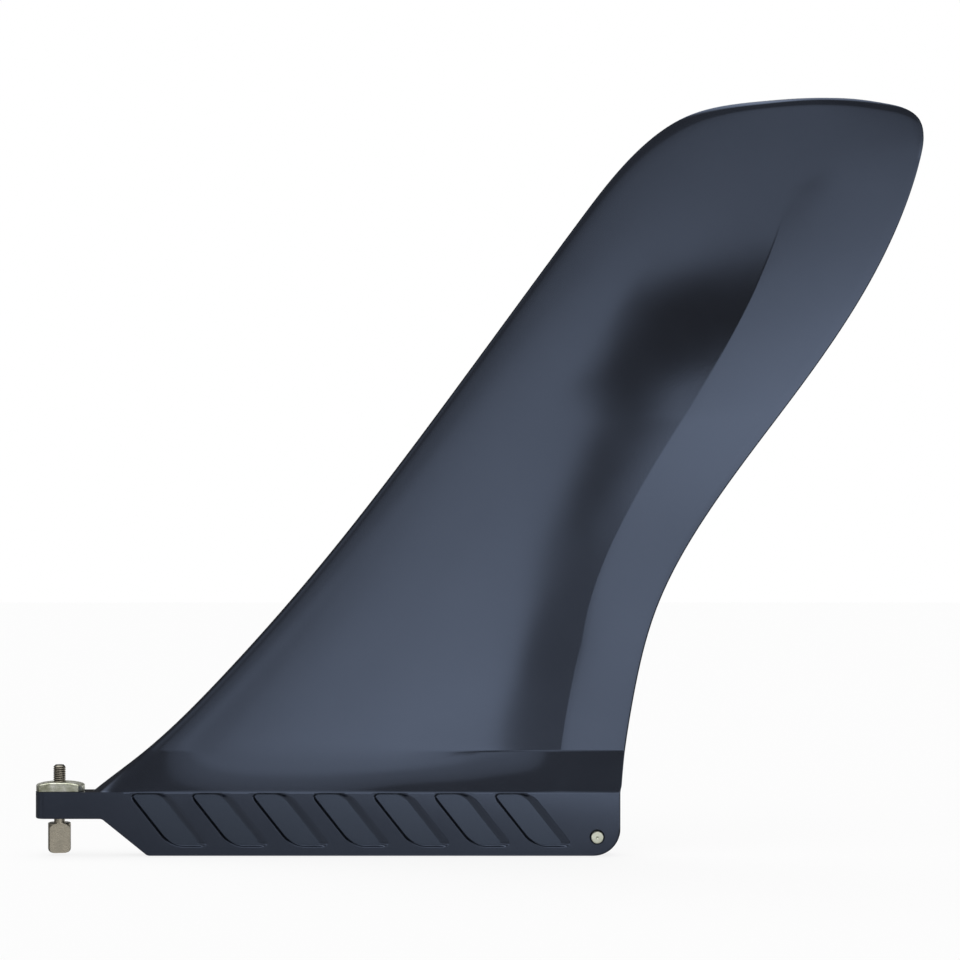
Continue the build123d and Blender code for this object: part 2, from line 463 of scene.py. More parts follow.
def rowPoints(start, stop):
    # One side of a row, from the leading edge to the middle of the trailing edge
    start, stop = np.array(start), np.array(stop)
    length = float(np.linalg.norm(stop - start))
    way = (stop - start) / max(length, 1e-6)
    z = float(start[1] + stop[1]) / 2
    within = min(z, blade["top"] - blade["topGap"])
    chord = max(trailAt(within) - leadAt(within), 1.0)
    edge = start + way * max(0.0, length - blade["edgeHalf"])
    edgeHalf = skinHalf(float(edge[0]), float(edge[1]))
    radius = min(blade["edgeRadius"], 0.9 * edgeHalf, 0.45 * length)
    points = []
    for share in rowShares(length, chord, z):
        place = start + way * share * (length - radius)
        half = skinHalf(float(place[0]), float(place[1])) if share > 0 else 0.0
        points.append((place[0], half, place[1]))
    lastHalf = max(points[-1][1], radius)
    for i in range(1, blade["roundColumns"] + 1):
        turn = math.radians(90 * i / blade["roundColumns"])
        place = start + way * (length - radius + radius * math.sin(turn))
        points.append((place[0], lastHalf - radius + radius * math.cos(turn), place[1]))
    for i in range(1, blade["wallColumns"] + 1):
        points.append((stop[0], (lastHalf - radius) * (1 - i / blade["wallColumns"]), stop[1]))
    return points


tab = {
    "height": 20.8,
    "half": 4.65,
    "seam": 20.3,
    "rear": 45.8,
    "rearBlend": 3,
    "rearRadius": 8.8,
    "footFront": -108.5,
    "neck": -123.4,
    "tongueEnd": -145.2,
    "tongueUnder": 12.0,
    "noseRadius": 3.0,
    "bendRadius": 2.0,
    "rim": 0.6,
    "blockTo": -116.2,
}
recess = {
    "count": 7,
    "pitch": 19.75,
    "firstLeft": -115.45,
    "bottom": 2.7,
    "top": 20.65,
    "width": 13.85,
    "lean": 14.2,
    "tightRadius": 1.8,
    "upperRadius": 7.0,
    "lowerRadius": 9.5,
    "lip": 0.3,
    "depth": 1.2,
    "draft": 16.0,
    "frontSet": 0.45,
    "rearSet": 2.4,
    "apron": 0.25,
    "start": 0.4,
    "lipSteps": 4,
}
holes = {
    "screwX": -137.7,
    "tongueRadius": 2.3,
    "tongueToolMiddle": 16.0,
    "tongueToolLength": 12.0,
    "pinX": 38.2,
    "pinZ": 6.2,
    "pinRadius": 2.02,
    "pinMouth": 0.45,
}

tipOutline = np.concatenate([
    leadingPath[leadingPath[:, 1] > blade["tipFrom"]],
    trailingPath[trailingPath[:, 1] > blade["tipFrom"]][::-1],
])


def makeBladeSkin():
    bm = bmesh.new()
    rows = [rowPoints(start, stop) for start, stop in rowEnds()]
    inner = [(x, blade["sunkShare"] * y, z - blade["sunkBy"]) for x, y, z in rows[0]]
    rows.insert(0, inner)
    loops = []
    for row in rows:
        near = [(x, -y, z) for x, y, z in reversed(row)]
        far = [(x, y, z) for x, y, z in row[1:]]
        loops.append(near + far)
    grid = bmesh.ops.create_grid(
        bm, x_segments=len(loops[0]) - 1, y_segments=len(loops) - 1, size=1
    )
    places = [place for loop in loops for place in loop]
    for vert, place in zip(grid["verts"], places):
        vert.co = place
    bmesh.ops.remove_doubles(bm, verts=bm.verts, dist=0.002)
    opening = [edge for edge in bm.edges if edge.is_boundary]
    bmesh.ops.contextual_create(bm, geom=opening)
    bmesh.ops.recalc_face_normals(bm, faces=bm.faces)
    return makeObject("bladeSkin", bm)


def makeTabBlock():
    bm = bmesh.new()
    half = tab["half"]
    corners = [
        (tab["tongueEnd"], tab["tongueUnder"]),
        (tab["neck"], tab["tongueUnder"]),
        (tab["footFront"], 0),
        (tab["rear"], 0),
        (tab["rear"], tab["seam"]),
        (tab["blockTo"], tab["seam"]),
        (tab["blockTo"], tab["height"]),
        (tab["tongueEnd"], tab["height"]),
    ]
    bm.faces.new([bm.verts.new((x, -half, z)) for x, z in corners])
    roundCorner(bm, tab["rear"], 0, tab["rearRadius"], 14)
    roundCorner(bm, tab["footFront"], 0, tab["bendRadius"])
    roundCorner(bm, tab["neck"], tab["tongueUnder"], tab["bendRadius"])
    extrudeAcross(bm, 2 * half)
    ends = [e for e in bm.edges if all(v.co.x < tab["tongueEnd"] + 0.01 for v in e.verts)]
    upright = [e for e in ends if abs(e.verts[0].co.z - e.verts[1].co.z) > 1]
    bevelEdges(bm, upright, tab["noseRadius"], 8)
    rim = []
    for edge in bm.edges:
        if edge.calc_face_angle(0) < math.radians(35):
            continue
        middle = (edge.verts[0].co + edge.verts[1].co) / 2
        across = abs(edge.verts[0].co.y - edge.verts[1].co.y) > half
        if middle.z < tab["seam"] - 0.01 and (not across or middle.x < tab["neck"] - 5):
            rim.append(edge)
    bevelEdges(bm, rim, tab["rim"], 4)
    return makeObject("tabBlock", bm)


def addRecessCutter(bm, left):
    # A tool with the recess's outline, starting outside the tab: a rounded lip, a leaning wall and
    # a floor radius
    lip, half, start = recess["lip"], tab["half"], recess["start"]
    lean, steps = math.radians(90 - recess["draft"]), recess["lipSteps"]
    right = left + recess["width"]
    corners = [
        (left, recess["top"]),
        (right, recess["top"]),
        (right + recess["lean"], recess["bottom"]),
        (left + recess["lean"], recess["bottom"]),
    ]
    bm.faces.new([bm.verts.new((x, -half - start, z)) for x, z in corners])
    roundCorner(bm, *corners[0], recess["tightRadius"], 5)
    roundCorner(bm, *corners[1], recess["upperRadius"], 9)
    roundCorner(bm, *corners[2], recess["tightRadius"], 5)
    roundCorner(bm, *corners[3], recess["lowerRadius"], 10)
    pushed = bmesh.ops.extrude_face_region(bm, geom=bm.faces[:], use_keep_orig=True)
    floor = next(item for item in pushed["geom"] if isinstance(item, bmesh.types.BMFace))
    bmesh.ops.translate(bm, vec=(0, start, 0), verts=floor.verts)
    turns = [lean * i / steps for i in range(steps + 1)]
    lipPath = [(lip * math.sin(turn), lip * (1 - math.cos(turn))) for turn in turns]
    path = list(lipPath)
    wall = recess["depth"] - 2 * lipPath[-1][1]
    path.append((path[-1][0] + wall / math.tan(lean), path[-1][1] + wall))
    turnX, turnY = path[-1][0] + lipPath[-1][0], recess["depth"]
    path += [(turnX - x, turnY - y) for x, y in reversed(lipPath[:-1])]
    path.append((turnX + recess["apron"], turnY))
    for (x, y), (nextX, nextY) in zip(path, path[1:]):
        bmesh.ops.inset_region(
            bm, faces=[floor], thickness=nextX - x, depth=0,
            use_even_offset=True, use_boundary=True,
        )
        bmesh.ops.translate(bm, vec=(0, nextY - y, 0), verts=floor.verts)
    bmesh.ops.poke(bm, faces=[floor])
    for vert in bm.verts:
        # the front wall leans a little further in, and the rear wall is a gentle ramp
        deep = max(0.0, (vert.co.y + half) / recess["depth"])
        down = (recess["top"] - vert.co.z) / (recess["top"] - recess["bottom"])
        along = (vert.co.x - left - recess["lean"] * down) / recess["width"]
        vert.co.x += deep * (recess["frontSet"] * (1 - along) - recess["rearSet"] * along)


def makeCutters():
    bm = bmesh.new()
    for number in range(recess["count"]):
        single = bmesh.new()
        addRecessCutter(single, recess["firstLeft"] + number * recess["pitch"])
        mesh = bpy.data.meshes.new("recessTool")
        single.to_mesh(mesh)
        single.free()
        bm.from_mesh(mesh)
        bpy.data.meshes.remove(mesh)
    bmesh.ops.mirror(bm, geom=wholeOf(bm), axis="Y", merge_dist=-1)
    middle = (holes["screwX"], 0, holes["tongueToolMiddle"])
    addCylinder(bm, middle, holes["tongueRadius"], holes["tongueToolLength"], segments=48)
    bmesh.ops.recalc_face_normals(bm, faces=bm.faces)
    return makeObject("cutters", bm)


def makePinTool():
    # The pin's hole, wider at both mouths
    radius, mouth, length = holes["pinRadius"], holes["pinMouth"], 2 * tab["half"] + 1
    bm = bmesh.new()
    addCylinder(bm, (0, 0, 0), radius + mouth + 0.5, length, "Y", 64)
    for side in (1, -1):
        waist = side * (tab["half"] - mouth)
        bmesh.ops.bisect_plane(
            bm, geom=wholeOf(bm), plane_co=(0, waist, 0), plane_no=(0, 1, 0)
        )
    for vert in bm.verts:
        reach = radius + max(0.0, abs(vert.co.y) - (tab["half"] - mouth))
        share = reach / math.hypot(vert.co.x, vert.co.z)
        vert.co.x, vert.co.z = vert.co.x * share, vert.co.z * share
    bmesh.ops.translate(bm, vec=(holes["pinX"], 0, holes["pinZ"]), verts=bm.verts)
    return makeObject("pinTool", bm)


plastic = {
    "dark": (0.0125, 0.0132, 0.0165),
    "light": (0.0150, 0.0160, 0.0200),
    # painted shade on the steep walls of the recesses
    "wall": (0.003, 0.0035, 0.0045),
    # a lighter tone on the recess floors, painted light
    "floor": (0.0145, 0.0165, 0.019),
    "sheen": (0.55, 0.69, 1.0),
    "roughness": (0.05, 0.075),
    "floorRoughness": 0.05,
    "mottleScale": 70,
    "hazeScale": 25,
    "fibreScale": 2200,
    "fibreStrength": 0.05,
    "fibreHeight": 0.00003,
    # the gap to the recess floor over which its lighter tone, painted light, fades out
    "floorFade": (0.02, 0.1),
    # a wall is what lies this far below the tab's side and near a recess, and faces sideways
    "wallFrom": 0.03,
    "wallMargin": 0.3,
    "wallFacing": 0.75,
}


def makeFinPlastic():
    material, tree, shader = newMaterial("finPlastic")
    coordinates = tree.nodes.new("ShaderNodeTexCoord").outputs["Object"]
    shader.inputs["Specular IOR Level"].default_value = 1.0
    shader.inputs["Specular Tint"].default_value = (*plastic["sheen"], 1)
    mottle = addNoise(tree, coordinates, plastic["mottleScale"], 5)
    stops = [(0.3, plastic["dark"]), (0.7, plastic["light"])]
    navy = addRamp(tree, mottle, stops)
    split = tree.nodes.new("ShaderNodeSeparateXYZ")
    tree.links.new(coordinates, split.inputs["Vector"])
    inTab = addMath(tree, "LESS_THAN", split.outputs["Z"], recess["top"] * mm)
    reach = addMath(tree, "ABSOLUTE", split.outputs["Y"])
    floorAt = tab["half"] - recess["depth"]
    near, far = [(floorAt + gap) * mm for gap in plastic["floorFade"]]
    onFloor = addRange(tree, reach, 1, 0, near, far)
    onFloor = addMath(tree, "MULTIPLY", onFloor, inTab)
    steep = tree.nodes.new("ShaderNodeAttribute")
    steep.attribute_name = "paintedWallShade"
    # painted shade on the steep recess walls, read from the faces' mark
    tone = addTint(tree, steep.outputs["Fac"], navy, plastic["wall"])
    # painted light: a lighter tone on the recess floors
    tone = addTint(tree, onFloor, tone, plastic["floor"])
    tree.links.new(tone, shader.inputs["Base Color"])
    haze = addNoise(tree, coordinates, plastic["hazeScale"], 3)
    gloss = addRange(tree, haze, *plastic["roughness"])
    added = addMath(tree, "MULTIPLY", onFloor, plastic["floorRoughness"])
    roughness = addMath(tree, "ADD", gloss, added)
    tree.links.new(roughness, shader.inputs["Roughness"])
    fibre = addNoise(tree, coordinates, plastic["fibreScale"], 2)
    skin = addBump(tree, fibre, plastic["fibreStrength"], plastic["fibreHeight"])
    tree.links.new(skin, shader.inputs["Normal"])
    return material


def markPaintedWallShade(moulding):
    # Marks the steep walls of the recesses by place and by the way they face, for the painted shade
    # the material lays on them
    marks = moulding.data.attributes.new("paintedWallShade", "FLOAT", "FACE")
    first = recess["firstLeft"] - plastic["wallMargin"]
    last = recess["firstLeft"] + (recess["count"] - 1) * recess["pitch"] + recess["width"]
    last += plastic["wallMargin"]
    floorEdge = tab["half"] - recess["depth"] + plastic["floorFade"][0]
    for face in moulding.data.polygons:
        x, y, z = face.center / mm
        down = (recess["top"] - z) / (recess["top"] - recess["bottom"])
        inside = -0.01 < down < 1.01 and first < x - recess["lean"] * down < last
        deep = floorEdge < abs(y) < tab["half"] - plastic["wallFrom"]
        steep = abs(face.normal.y) < plastic["wallFacing"]
        marks.data[face.index].value = float(inside and deep and steep)


def makeFinMoulding():
    moulding = makeTabBlock()
    addBoolean(moulding, makeBladeSkin(), "UNION")
    addBoolean(moulding, makeCutters(), "DIFFERENCE")
    addBoolean(moulding, makePinTool(), "DIFFERENCE")
    moulding.name = "finMoulding"
    scaleToMetres(moulding)
    shadeByAngle(moulding, 32)
    floorAt = (tab["half"] - recess["depth"]) * mm
    for face in moulding.data.polygons:
        # the recess floors stay flat
        atFloor = abs(abs(face.center.y) - floorAt) < 0.01 * mm
        face.use_smooth = not (atFloor and abs(face.normal.y) > 0.999)
    weightNormals(moulding)
    markPaintedWallShade(moulding)
    placePiece(moulding, "fin", makeFinPlastic(), "fin_body")


makeFinMoulding()


# Steel of the pin and the screw

steel = {
    "stainScale": 420,
    "stainStops": (0.32, 0.6),
    "lineScale": 900,
    "lineStrength": 0.2,
    "lineHeight": 0.00004,
    "scratchScale": 600,
    "scratchStretch": 1.3,
    "scratchFrom": (0.62, 0.7),
    "scratchStrength": 0.15,
    "scratchHeight": 0.00003,
}


def makeSteel(name, finish):
    # Bare metal with drawn or turned lines, faint stains and a few scratches
    material, tree, shader = newMaterial(name)
    coordinates = tree.nodes.new("ShaderNodeTexCoord").outputs["Object"]
    shader.inputs["Metallic"].default_value = 1
    stain = addNoise(tree, coordinates, steel["stainScale"], 5)
    stops = list(zip(steel["stainStops"], (finish["dark"], finish["light"])))
    tone = addRamp(tree, stain, stops)
    tree.links.new(tone, shader.inputs["Base Color"])
    stretch = finish["lines"]
    lines = addNoise(tree, coordinates, steel["lineScale"], 4, stretch)
    rough = addRange(tree, lines, *finish["roughness"])
    tree.links.new(rough, shader.inputs["Roughness"])
    stretch = tuple(steel["scratchStretch"] / part for part in stretch)
    scratches = addNoise(tree, coordinates, steel["scratchScale"], 2, stretch)
    nicks = addRange(tree, scratches, 0, 1, *steel["scratchFrom"])
    skin = addBump(tree, lines, steel["lineStrength"], steel["lineHeight"])
    skin = addBump(tree, nicks, steel["scratchStrength"], steel["scratchHeight"], skin)
    tree.links.new(skin, shader.inputs["Normal"])
    return material, tone


# Rear cross pin: a plain steel dowel with a turning centre in each end

pin = {
    "radius": 2.0,
    "length": 12.2,
    "chamfer": 0.3,
    "dimple": 0.45,
    "dimpleDepth": 0.35,
    "dimplePoint": 0.01,
    "light": (0.78, 0.81, 0.68),
    "dark": (0.60, 0.62, 0.50),
    "roughness": (0.26, 0.40),
    "lines": (1, 6, 1),
}


def makePin():
    bm = bmesh.new()
    centre = (holes["pinX"], 0, holes["pinZ"])
    addCylinder(bm, centre, pin["radius"], pin["length"], "Y", 64)
    bevelEdges(bm, sharpEdges(bm), pin["chamfer"], 2)
    piece = makeObject("crossPin", bm)
    tools = bmesh.new()
    for side in (1, -1):
        made = bmesh.ops.create_cone(
            tools, cap_ends=True, segments=32, radius1=pin["dimplePoint"],
            radius2=2 * pin["dimple"], depth=2 * pin["dimpleDepth"],
        )
        turn = Matrix.Rotation(math.radians(-90 * side), 3, "X")
        bmesh.ops.rotate(tools, cent=(0, 0, 0), matrix=turn, verts=made["verts"])
        end = (holes["pinX"], side * pin["length"] / 2, holes["pinZ"])
        bmesh.ops.translate(tools, vec=end, verts=made["verts"])
    bmesh.ops.recalc_face_normals(tools, faces=tools.faces)
    addBoolean(piece, makeObject("dimples", tools), "DIFFERENCE")
    material, _ = makeSteel("pinSteel", pin)
    finishMetal(piece, 35, "fin", material, "rear_cross_pin")


makePin()


# Thumb screw: a rolled thread, a plain neck, and a turned head with two milled flats

screw = {
    "radius": 2.0,
    "pitch": 0.7,
    "threadDepth": 0.32,
    "crest": 0.3,
    "stepsPerTurn": 40,
    "tip": 29.4,
    "tipChamfer": 0.7,
    "threadFrom": 13.0,
    "neckRadius": 1.75,
    "headRadius": 3.7,
    "headTop": 10.5,
    "headBottom": 0.6,
    "headCorner": 1.5,
    "headRim": 0.3,
    "gripHalf": 1.7,
    "gripArc": 4.0,
    "gripArcCentre": 6.6,
    "gripTurn": 11.0,
    "softEdge": 0.1,
    "flankAngle": 30,
    # how far the ridge reaches into its core, the blank past the thread, and the neck past its ends
    "ridgeDepth": 0.15,
    "blankGap": 0.03,
    "neckPast": (0.5, 0.2),
    "light": (0.34, 0.31, 0.25),
    "dark": (0.30, 0.276, 0.224),
    # painted shade for the bottoms of the thread's grooves
    "grooveShade": (0.1, 0.095, 0.08),
    "roughness": (0.24, 0.34),
    "lines": (1, 1, 7),
}


def makeThread():
    # A helical ridge on a core, trimmed to the shank's length with a chamfer at both ends
    core = screw["radius"] - screw["threadDepth"]
    low, high = screw["threadFrom"], screw["tip"]
    inner, crest = core - screw["ridgeDepth"], screw["crest"] / 2
    root = crest + screw["threadDepth"] * math.tan(math.radians(screw["flankAngle"]))
    bm = bmesh.new()
    corners = [
        (inner, -root), (core, -root), (screw["radius"], -crest),
        (screw["radius"], crest), (core, root), (inner, root),
    ]
    start = low - screw["pitch"]
    loop = [bm.verts.new((x, 0, start + z)) for x, z in corners]
    edges = [bm.edges.new((loop[i - 1], loop[i])) for i in range(len(loop))]
    turns = math.ceil((high - low) / screw["pitch"]) + 2
    steps = turns * screw["stepsPerTurn"]
    spun = bmesh.ops.spin(
        bm, geom=loop + edges, cent=(0, 0, 0), axis=(0, 0, 1), angle=math.radians(360 * turns),
        dvec=(0, 0, screw["pitch"] / screw["stepsPerTurn"]), steps=steps,
    )
    bmesh.ops.contextual_create(bm, geom=edges)
    ending = [item for item in spun["geom_last"] if isinstance(item, bmesh.types.BMEdge)]
    bmesh.ops.contextual_create(bm, geom=ending)
    bmesh.ops.recalc_face_normals(bm, faces=bm.faces)
    ridge = makeObject("ridge", bm)
    middle = (0, 0, (low + high) / 2)
    bm = bmesh.new()
    addCylinder(bm, middle, core, high - low + 3, segments=80)
    thread = makeObject("thread", bm)
    addBoolean(thread, ridge, "UNION")
    bm = bmesh.new()
    addCylinder(bm, middle, screw["radius"] + screw["blankGap"], high - low, segments=80)
    bevelEdges(bm, sharpEdges(bm), screw["tipChamfer"], 1)
    addBoolean(thread, makeObject("blank", bm), "INTERSECT")
    return thread


def makeHead():
    low, high = screw["headBottom"], screw["headTop"]
    bm = bmesh.new()
    addCylinder(bm, (0, 0, (low + high) / 2), screw["headRadius"], high - low, segments=96)
    lower = [e for e in sharpEdges(bm) if e.verts[0].co.z < low + 1]
    bevelEdges(bm, lower, screw["headCorner"], 8)
    upper = [e for e in sharpEdges(bm) if min(v.co.z for v in e.verts) > high - 0.01]
    bevelEdges(bm, upper, screw["headRim"], 2)
    head = makeObject("head", bm)
    for side in (1, -1):
        tool = bmesh.new()
        arc, top = screw["gripArc"], screw["gripArcCentre"] + screw["gripArc"]
        corners = [(-arc, low - 1), (arc, low - 1), (arc, top), (-arc, top)]
        y = side * screw["gripHalf"]
        tool.faces.new([tool.verts.new((x, y, z)) for x, z in corners])
        roundCorner(tool, arc, top, arc - 0.02, 24)
        roundCorner(tool, -arc, top, arc - 0.02, 24)
        extrudeAcross(tool, side * screw["headRadius"])
        addBoolean(head, makeObject("flatTool", tool), "DIFFERENCE")
    soft = head.modifiers.new("soft", "BEVEL")
    soft.width = screw["softEdge"]
    soft.segments = 2
    soft.limit_method = "ANGLE"
    soft.angle_limit = math.radians(35)
    applyModifiers(head)
    return head


def addGrooveShade(material, tone):
    # Paints shade into the bottoms of the thread's grooves, by their distance from the screw's axis
    tree = material.node_tree
    split = tree.nodes.new("ShaderNodeSeparateXYZ")
    tree.links.new(tree.nodes["Texture Coordinate"].outputs["Object"], split.inputs["Vector"])
    across = addMath(tree, "SUBTRACT", split.outputs["X"], holes["screwX"] * mm)
    across = addMath(tree, "MULTIPLY", across, across)
    along = addMath(tree, "MULTIPLY", split.outputs["Y"], split.outputs["Y"])
    reach = addMath(tree, "SQRT", addMath(tree, "ADD", across, along))
    core = (screw["radius"] - screw["threadDepth"]) * mm
    deep = addRange(tree, reach, 1, 0, core, screw["radius"] * mm)
    low = screw["threadFrom"] * mm
    threaded = addMath(tree, "GREATER_THAN", split.outputs["Z"], low)
    share = addMath(tree, "MULTIPLY", deep, threaded)
    grooveShade = addTint(tree, share, tone, screw["grooveShade"])
    tree.links.new(grooveShade, tree.nodes["Principled BSDF"].inputs["Base Color"])


def makeScrew():
    piece = makeHead()
    bm = bmesh.new()
    low, high = screw["headTop"] - screw["neckPast"][0], screw["threadFrom"] + screw["neckPast"][1]
    addCylinder(bm, (0, 0, (low + high) / 2), screw["neckRadius"], high - low, segments=64)
    addBoolean(piece, makeObject("neck", bm), "UNION")
    addBoolean(piece, makeThread(), "UNION")
    piece.name = "thumbScrew"
    turn = Matrix.Rotation(math.radians(screw["gripTurn"]), 4, "Z")
    piece.data.transform(Matrix.Translation((holes["screwX"], 0, 0)) @ turn)
    material, tone = makeSteel("screwSteel", screw)
    addGrooveShade(material, tone)
    finishMetal(piece, 30, "screw", material, "thumb_screw")


makeScrew()


# Plate nut: a cast disc cut to two straight sides, soft on top, drilled for the thread

nut = {
    "radius": 7.9,
    "width": 9.2,
    "thickness": 3.0,
    "bottom": 20.85,
    "offset": 0.35,
    "hole": 2.06,
    "topEdge": 0.6,
    "bottomEdge": 0.25,
    "domeFrom": 3.4,
    "domeDrop": 0.8,
    "domeStep": 0.6,
    "tones": [
        (0.3, (0.30, 0.31, 0.22)),
        (0.5, (0.50, 0.51, 0.42)),
        (0.68, (0.66, 0.66, 0.60)),
    ],
    "roughness": (0.24, 0.5),
    "patchScale": 380,
    "grainScale": 1500,
    "grainStrength": 0.3,
    "grainHeight": 0.00006,
    "pebbleScale": 1100,
    "pebbleStrength": 0.35,
    "pebbleHeight": 0.00012,
}


def makeNutMetal():
    # Tumbled cast metal: a pebbled skin with a fine grain, in darker and lighter patches
    material, tree, shader = newMaterial("nutMetal")
    coordinates = tree.nodes.new("ShaderNodeTexCoord").outputs["Object"]
    shader.inputs["Metallic"].default_value = 1
    patches = addNoise(tree, coordinates, nut["patchScale"], 6)
    tone = addRamp(tree, patches, nut["tones"])
    tree.links.new(tone, shader.inputs["Base Color"])
    grain = addNoise(tree, coordinates, nut["grainScale"], 4)
    rough = addRange(tree, grain, *nut["roughness"])
    tree.links.new(rough, shader.inputs["Roughness"])
    pebbles = tree.nodes.new("ShaderNodeTexVoronoi")
    pebbles.feature = "SMOOTH_F1"
    pebbles.inputs["Scale"].default_value = nut["pebbleScale"]
    tree.links.new(coordinates, pebbles.inputs["Vector"])
    lumps = pebbles.outputs["Distance"]
    skin = addBump(tree, lumps, nut["pebbleStrength"], nut["pebbleHeight"])
    skin = addBump(tree, grain, nut["grainStrength"], nut["grainHeight"], skin)
    tree.links.new(skin, shader.inputs["Normal"])
    return material


def domeTop(bm):
    # Cuts the nut into a fine grid and lowers its top towards the rim
    places = np.arange(-nut["radius"], nut["radius"], nut["domeStep"]) + nut["domeStep"] / 2
    for way in ((1, 0, 0), (0, 1, 0)):
        for place in places:
            bmesh.ops.bisect_plane(
                bm, geom=wholeOf(bm), dist=0.001,
                plane_co=[place * part for part in way], plane_no=way,
            )
    for vert in bm.verts:
        reach = max(0.0, math.hypot(vert.co.x, vert.co.y) - nut["domeFrom"])
        drop = nut["domeDrop"] * (reach / (nut["radius"] - nut["domeFrom"])) ** 2
        vert.co.z *= 1 - drop / nut["thickness"]


def makeNut():
    middle = nut["thickness"] / 2
    bm = bmesh.new()
    addCylinder(bm, (0, 0, middle), nut["radius"], nut["thickness"], segments=128)
    piece = makeObject("plateNut", bm)
    bm = bmesh.new()
    box = bmesh.ops.create_cube(bm, size=1)
    size = (3 * nut["radius"], nut["width"], 3 * nut["thickness"])
    bmesh.ops.scale(bm, vec=size, verts=box["verts"])
    addBoolean(piece, makeObject("sides", bm), "INTERSECT")
    bm = bmesh.new()
    addCylinder(bm, (-nut["offset"], 0, middle), nut["hole"], 3 * nut["thickness"], segments=64)
    addBoolean(piece, makeObject("hole", bm), "DIFFERENCE")
    bm = bmesh.new()
    bm.from_mesh(piece.data)
    softened = ((nut["thickness"], nut["topEdge"], 5), (0, nut["bottomEdge"], 2))
    for level, width, segments in softened:
        # the outer edges at one level, without the hole's
        rim = [
            e for e in sharpEdges(bm)
            if all(abs(v.co.z - level) < 0.01 and v.co.length > 2 * nut["hole"] for v in e.verts)
        ]
        bevelEdges(bm, rim, width, segments)
    domeTop(bm)
    bm.to_mesh(piece.data)
    bm.free()
    place = (holes["screwX"] + nut["offset"], 0, nut["bottom"])
    piece.data.transform(Matrix.Translation(place))
    finishMetal(piece, 35, "nut", makeNutMetal(), "plate_nut")


makeNut()


# Floor and world

studio = {
    "floorFront": -0.26,
    "floorBack": 2.0,
    "floorHalfWidth": 1.6,
    "floorDrop": 0.0002,
    "floorColour": (0.9, 0.9, 0.9),
    "floorRoughness": 0.8,
    "seenShare": 0.85,  # of white, laid over the floor for the camera alone
    # light by elevation in degrees, near the level of the camera and further up and down
    "levels": [
        (-9, 0.5), (-6.9, 0.52), (-6.4, 0.6), (-6.05, 0.88), (-5.6, 1.84), (-4.5, 1.82),
        (-3.5, 1.7), (-1.5, 1.58), (0.5, 1.44), (2.5, 1.37), (3.5, 1.33), (4.5, 1.27),
        (5.5, 1.17), (6.5, 1.05), (7.8, 0.88), (12, 0.72),
    ],
    "farLevels": [
        (-90, 1.6), (-30, 1.3), (-12, 1), (12, 1), (17, 0.9), (24, 0.8), (28, 0.6), (31, 0.34),
        (42, 0.34), (52, 1.6), (62, 3.6), (90, 4.4),
    ],
    # share of it by azimuth, to the left of the camera, and the power it is raised to by elevation
    "leftShares": [
        (-70, 1), (-45, 0.9), (-30, 0.8), (-20, 0.68), (-13, 0.66), (-10, 0.7), (-8.5, 0.78),
        (-6, 0.85), (-4, 0.92), (-2, 0.96), (1, 1),
    ],
    "leftPowers": [(-9, 2.2), (-5.5, 2.1), (-3, 1.5), (0.5, 1.2), (3.5, 1), (7, 0.6), (15, 0.6)],
    # share of it by elevation, to the right of the dark figure
    "rightShares": [
        (-9, 0.6), (-5.5, 0.6), (-4.6, 1.1), (-3.5, 1.32), (-0.5, 1.35), (1.5, 1.2), (3.5, 1),
        (4.5, 0.9), (5.5, 0.88), (6.5, 0.8), (9, 0.75),
    ],
    "rightBlend": (6.5, 12.5),
    # share of it at the sides and behind, by azimuth
    "sideShares": [
        (-180, 0.45), (-150, 0.4), (-110, 0.35), (-75, 0.4), (-55, 0.65), (-30, 1), (30, 1),
        (55, 0.55), (75, 0.45), (110, 0.65), (150, 0.65), (180, 0.45),
    ],
    # the elevations over which the share at the sides gives way to all of it
    "fromAbove": (40, 55),
    # the dark figure in front of the fin: elevation, azimuth of its middle, half width, depth
    "figure": [
        (-7, 5.5, 1.7, 0.66), (-5.5, 5.5, 1.6, 0.72), (-4.5, 6.1, 1.9, 0.76),
        (-3.5, 5.35, 1.1, 0.78), (-2.5, 4.55, 0.78, 0.88), (-1.5, 4.1, 0.7, 0.9),
        (-0.5, 3.75, 0.65, 0.92), (0.5, 3.45, 0.62, 0.92), (1.5, 3.25, 0.62, 0.92),
        (2.6, 3.15, 0.72, 0.94), (3.4, 5.4, 3.0, 0.95), (4.2, 5.5, 2.9, 0.95),
        (5.5, 5.5, 2.8, 0.95),
    ],
    "figureTop": 5.45,  # the elevation of its upper end, and the azimuth where that holds
    "figureTilt": 0.1,
    "figureSoft": 0.28,
    # the dim strip that shows on the leaning sides above the tab, by elevation
    "strip": [(11, 1), (15, 0.8), (18.5, 0.42), (27, 0.5), (31, 1), (42, 1)],
    "stripReach": (25, 40),
    # how far the levels sink per degree to the right, and the most that they sink there
    "tilt": 0.1,
    "tiltMost": 1.0,
    # a dark card low behind the fin: azimuth and elevations of its soft edges, depth
    "card": {"from": (160, 168), "bottom": (2.5, 4), "top": (9, 11), "depth": 0.85},
}


